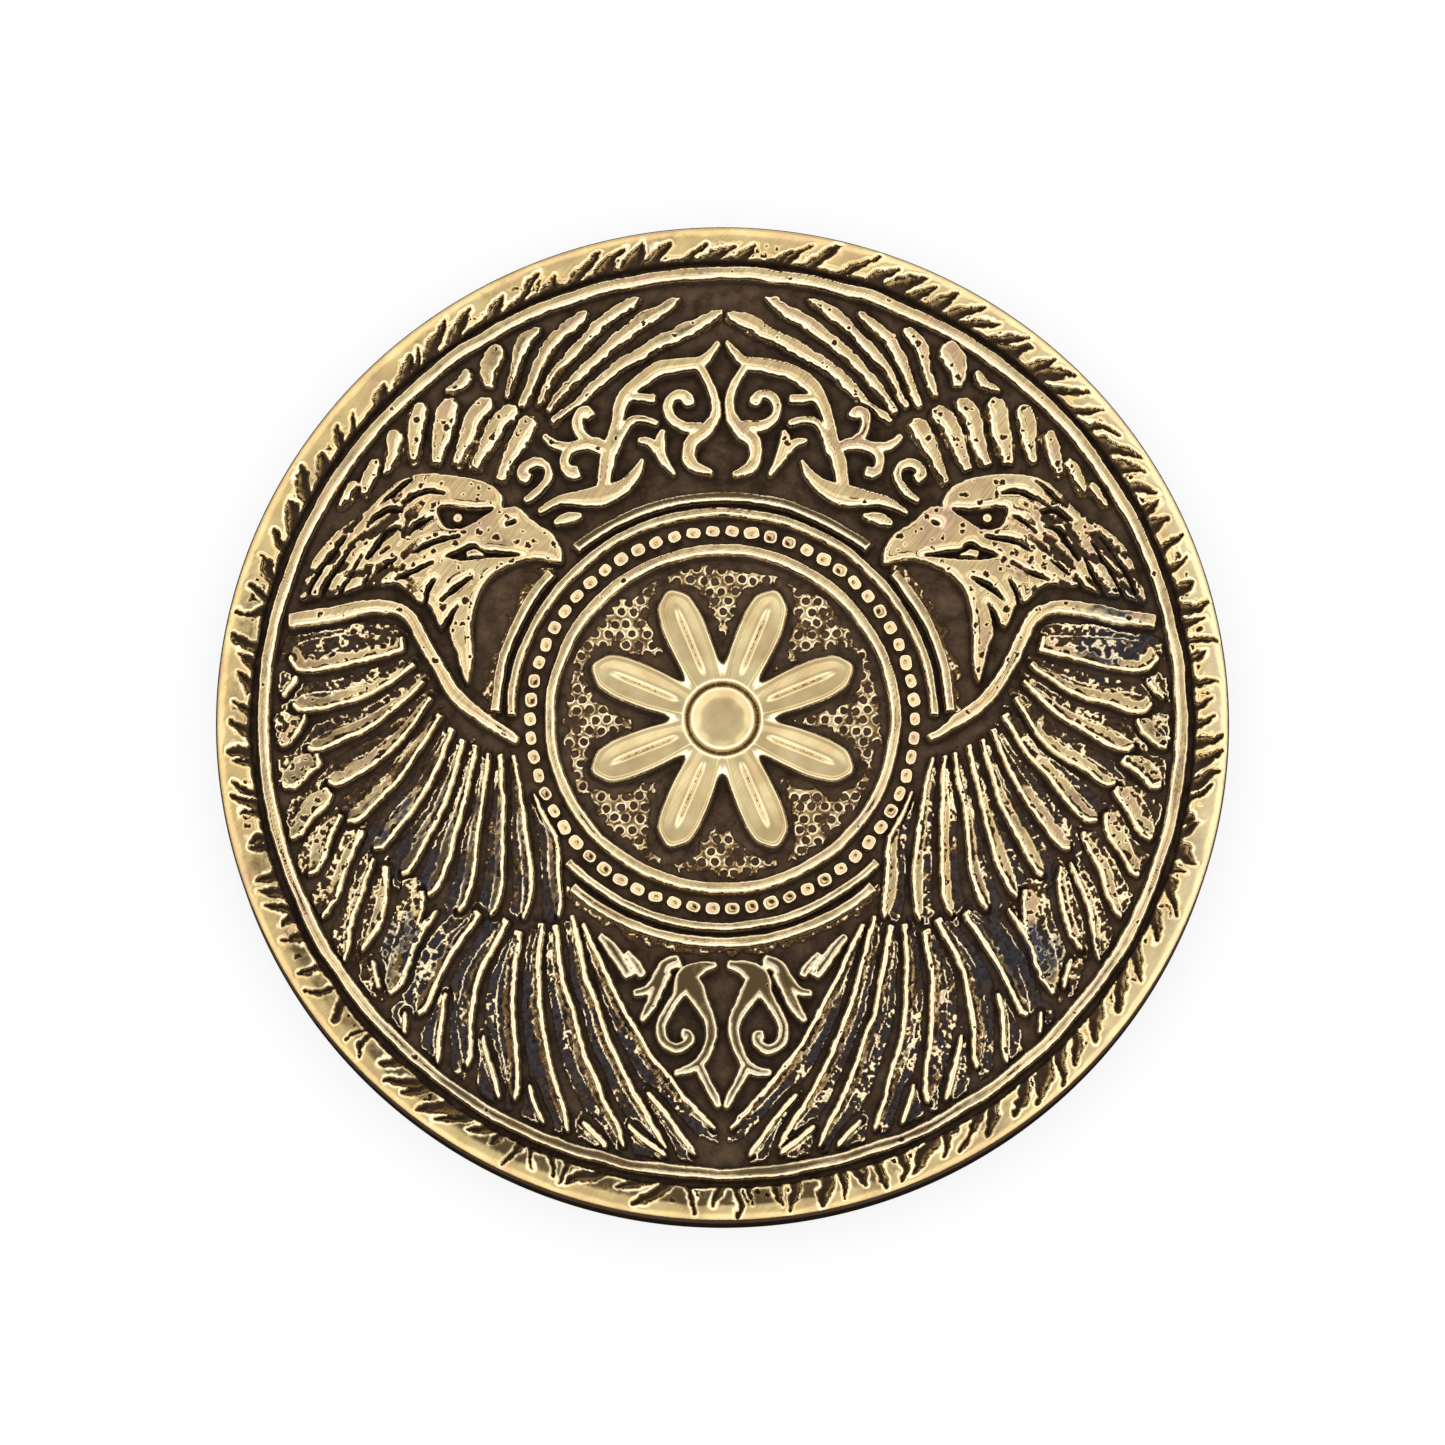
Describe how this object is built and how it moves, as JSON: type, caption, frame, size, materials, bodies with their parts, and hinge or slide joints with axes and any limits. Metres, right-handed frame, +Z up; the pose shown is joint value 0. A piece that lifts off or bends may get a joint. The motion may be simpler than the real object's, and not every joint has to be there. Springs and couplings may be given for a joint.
{
  "type": "challenge coin",
  "caption": "Round antiqued brass challenge coin in high relief: facing eagles with spread wings, scrolls, a notched rim and a beaded centre with a rosette. Rests flat or sits in a capsule.",
  "frame": {"origin": "middle of the reverse, on the surface the coin rests on", "axes": "+Z up out of the face, +Y to the top of the design, +X to its right"},
  "size_m": [0.0445, 0.0444, 0.0028],
  "materials": {
    "patina_blank": "dark brown antiqued patina over cast brass",
    "worn_relief": "hand-polished tops with patina left in the recesses",
    "polished_rim": "bright polished rim with patina in the notches",
    "polished_rosette": "bright polished"
  },
  "bodies": {
    "root": {"coin_blank": "patina_blank", "rim_band": "polished_rim", "border_ring": "worn_relief", "left_eagle_head": "worn_relief", "right_eagle_head": "worn_relief", "left_eye": "worn_relief", "right_eye": "worn_relief", "left_wing_bow": "worn_relief", "right_wing_bow": "worn_relief", "left_upper_feathers": "worn_relief", "right_upper_feathers": "worn_relief", "left_crown_coverts": "worn_relief", "right_crown_coverts": "worn_relief", "left_lower_coverts": "worn_relief", "right_lower_coverts": "worn_relief", "left_outer_coverts": "worn_relief", "right_outer_coverts": "worn_relief", "left_flight_feathers": "worn_relief", "right_flight_feathers": "worn_relief", "left_top_scroll": "worn_relief", "right_top_scroll": "worn_relief", "left_bottom_scroll": "worn_relief", "right_bottom_scroll": "worn_relief", "inner_ring": "worn_relief", "bead_row": "worn_relief", "outer_ring": "worn_relief", "top_arc": "worn_relief", "bottom_arc": "worn_relief", "left_side_arc": "worn_relief", "right_side_arc": "worn_relief", "rosette": "polished_rosette"}
  },
  "joints": []
}
